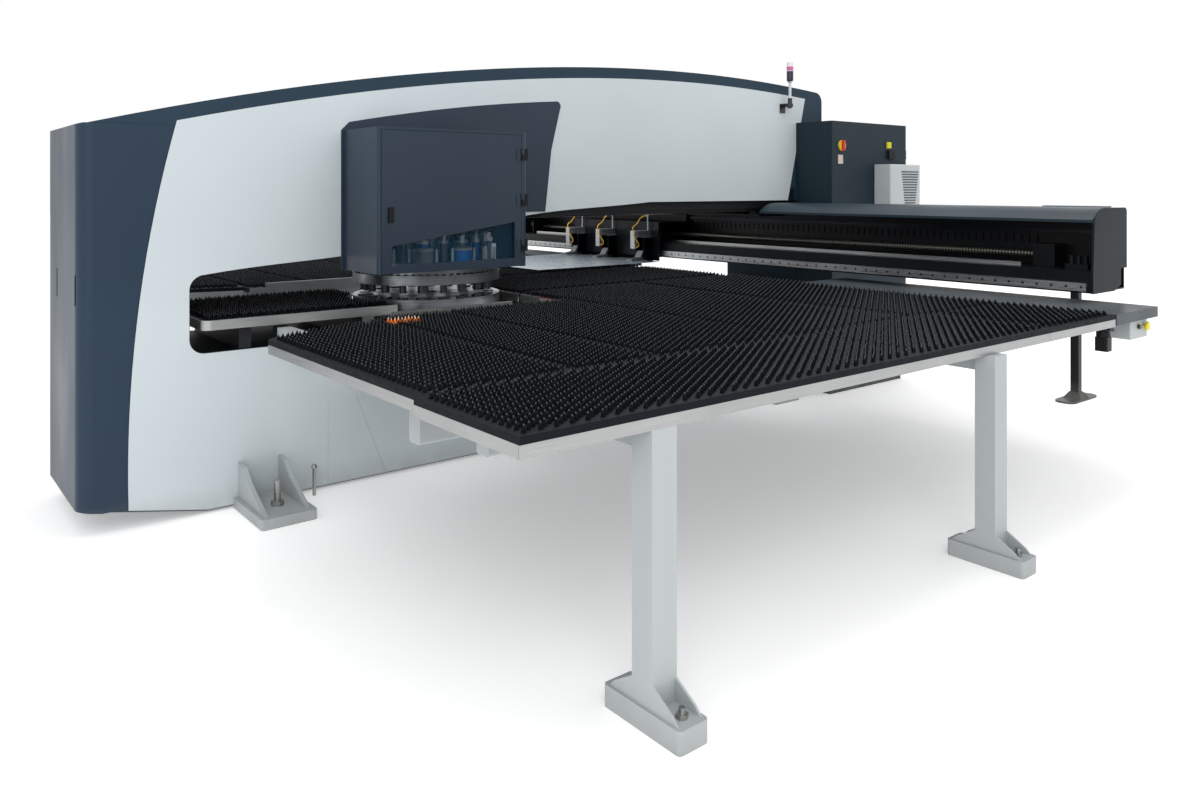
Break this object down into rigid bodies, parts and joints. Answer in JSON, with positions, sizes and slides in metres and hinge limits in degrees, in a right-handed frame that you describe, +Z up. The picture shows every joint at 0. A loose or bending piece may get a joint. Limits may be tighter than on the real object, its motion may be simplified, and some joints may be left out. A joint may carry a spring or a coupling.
{
  "type": "cnc turret punch press",
  "caption": "Closed-frame turret punch press with brush tables on legs, a carriage beam with sheet clamps, a head door and an electrical cabinet.",
  "frame": {"origin": "middle of the footprint, on the floor", "axes": "+X points to the loading side with the head door, +Y along the frame from the turret end to the beam end, +Z up"},
  "size_m": [6.6, 6.638, 2.596],
  "materials": {
    "frame_dark": "satin dark slate paint",
    "panel_light": "satin light grey paint",
    "housing_dark": "satin dark slate paint",
    "leg_light": "satin light grey paint",
    "black_metal": "black paint",
    "screw_steel": "plain zinc",
    "glass": "clear",
    "turret_steel": "oiled dark steel",
    "tool_steel": "ground",
    "cast": "machined",
    "bright_steel": "ground bright",
    "trim_steel": "brushed",
    "board_black": "matt black",
    "bristle_black": "bristle field",
    "plate_grey": "grey paint",
    "cabinet_blue": "textured dark slate paint",
    "cooler_white": "light grey paint",
    "switch_red": "red and yellow",
    "lamp": "stacked lens",
    "button_yellow": "yellow",
    "button_black": "black",
    "aluminium": "anodised",
    "hose_yellow": "yellow hose",
    "sheet_alu": "mill finish sheet",
    "console_grey": "grey paint"
  },
  "bodies": {
    "frame": {"press_frame": "frame_dark", "side_panel_front": "panel_light", "side_panel_rear": "panel_light", "rear_end_cover": "frame_dark", "frame_feet": "leg_light", "floor_screws": "screw_steel", "head_housing": "housing_dark", "head_hinges": "black_metal", "turret_bearings": "cast", "turret_drive": "black_metal", "ram_cylinder": "cast", "die_anvil": "cast", "brush_boards_front": "board_black", "brush_boards_rear": "board_black", "throat_boards": "board_black", "brush_fields_front": "bristle_black", "brush_fields_rear": "bristle_black", "throat_brushes": "bristle_black", "table_trims": "trim_steel", "table_frames": "leg_light", "table_legs_front": "leg_light", "table_legs_rear": "leg_light", "load_plates": "plate_grey", "locator_cylinder": "black_metal", "button_box": "cooler_white", "y_rails": "bright_steel", "y_drive": "black_metal", "electrical_cabinet": "cabinet_blue", "signal_lamp": "lamp", "console_post": "black_metal"},
    "head_door": {"head_door": "housing_dark", "door_glass": "glass"},
    "door_latch": {"door_latch": "black_metal"},
    "upper_turret": {"upper_turret": "turret_steel", "punch_tools": "tool_steel"},
    "lower_turret": {"lower_turret": "turret_steel", "turret_dies": "tool_steel"},
    "ram": {"ram": "bright_steel"},
    "beam": {"carriage_beam": "black_metal", "beam_covers": "housing_dark", "beam_end_caps": "housing_dark", "x_rails": "bright_steel", "x_drive": "black_metal", "y_saddle": "black_metal"},
    "x_screw": {"x_screw": "bright_steel"},
    "y_screw": {"y_screw": "bright_steel"},
    "clamp_carriage": {"clamp_carriage": "black_metal", "clamp_bodies": "aluminium", "clamp_hoses": "hose_yellow", "sheet_blank": "sheet_alu"},
    "clamp_jaw_1": {"clamp_jaw_1": "bright_steel"},
    "clamp_jaw_2": {"clamp_jaw_2": "bright_steel"},
    "clamp_jaw_3": {"clamp_jaw_3": "bright_steel"},
    "cabinet_door": {"cabinet_door": "cabinet_blue", "cabinet_cooler": "cooler_white"},
    "main_switch": {"main_switch": "switch_red"},
    "stop_button": {"stop_button": "button_yellow"},
    "start_button": {"start_button": "button_black"},
    "locator_pin": {"locator_pin": "bright_steel"},
    "operator_console": {"operator_console": "console_grey"}
  },
  "joints": [
    {"name": "beam_slide", "type": "slide", "parent": "frame", "child": "beam", "axis": [0, 1, 0], "range_m": [-1.9, 0]},
    {"name": "clamp_slide", "type": "slide", "parent": "beam", "child": "clamp_carriage", "axis": [1, 0, 0], "range_m": [-0.318, 2.732]},
    {"name": "x_screw_spin", "type": "hinge", "parent": "beam", "child": "x_screw", "pos_m": [0, 1.491, 1.2], "axis": [1, 0, 0], "range_deg": [-3000, 24800]},
    {"name": "y_screw_spin", "type": "hinge", "parent": "frame", "child": "y_screw", "pos_m": [0, 0.531, 1.42], "axis": [0, 1, 0], "range_deg": [-17300, 200]},
    {"name": "upper_turret_spin", "type": "hinge", "parent": "frame", "child": "upper_turret", "pos_m": [0.14, -1.409, 1.2], "axis": [0, 0, 1], "continuous": true},
    {"name": "lower_turret_spin", "type": "hinge", "parent": "frame", "child": "lower_turret", "pos_m": [0.14, -1.409, 0.93], "axis": [0, 0, 1], "continuous": true},
    {"name": "ram_stroke", "type": "slide", "parent": "frame", "child": "ram", "axis": [0, 0, -1], "range_m": [0, 0.037]},
    {"name": "head_door_hinge", "type": "hinge", "parent": "frame", "child": "head_door", "pos_m": [0.843, -1.186, 1.533], "axis": [0, 0, 1], "range_deg": [0, 100]},
    {"name": "door_latch_turn", "type": "hinge", "parent": "head_door", "child": "door_latch", "pos_m": [0.834, -1.989, 1.482], "axis": [1, 0, 0], "range_deg": [0, 90]},
    {"name": "cabinet_door_hinge", "type": "hinge", "parent": "frame", "child": "cabinet_door", "pos_m": [0.738, 2.757, 1.12], "axis": [0, 0, 1], "range_deg": [0, 110]},
    {"name": "main_switch_turn", "type": "hinge", "parent": "cabinet_door", "child": "main_switch", "pos_m": [0.75, 1.861, 1.93], "axis": [1, 0, 0], "range_deg": [0, 90]},
    {"name": "stop_button_press", "type": "slide", "parent": "frame", "child": "stop_button", "axis": [-1, 0, 0], "range_m": [0, 0.007], "stiffness_N_per_m": 1500},
    {"name": "start_button_press", "type": "slide", "parent": "frame", "child": "start_button", "axis": [-1, 0, 0], "range_m": [0, 0.004], "stiffness_N_per_m": 900},
    {"name": "locator_lift", "type": "slide", "parent": "frame", "child": "locator_pin", "axis": [0, 0, 1], "range_m": [0, 0.025]},
    {"name": "console_tilt", "type": "hinge", "parent": "frame", "child": "operator_console", "pos_m": [1.981, 3.094, 1.18], "axis": [1, 0, 0], "range_deg": [-25, 25]},
    {"name": "clamp_jaw_1_open", "type": "hinge", "parent": "clamp_carriage", "child": "clamp_jaw_1", "pos_m": [-1.662, 1.121, 1.045], "axis": [-1, 0, 0], "range_deg": [0, 18]},
    {"name": "clamp_jaw_2_open", "type": "hinge", "parent": "clamp_carriage", "child": "clamp_jaw_2", "pos_m": [-1.222, 1.121, 1.045], "axis": [-1, 0, 0], "range_deg": [0, 18]},
    {"name": "clamp_jaw_3_open", "type": "hinge", "parent": "clamp_carriage", "child": "clamp_jaw_3", "pos_m": [-0.751, 1.121, 1.045], "axis": [-1, 0, 0], "range_deg": [0, 18]}
  ],
  "couplings": [
    {"joint": "lower_turret_spin", "follows": "upper_turret_spin", "ratio": 1},
    {"joint": "x_screw_spin", "follows": "clamp_slide", "rad_per_m": 157.08},
    {"joint": "y_screw_spin", "follows": "beam_slide", "rad_per_m": 157.08}
  ]
}
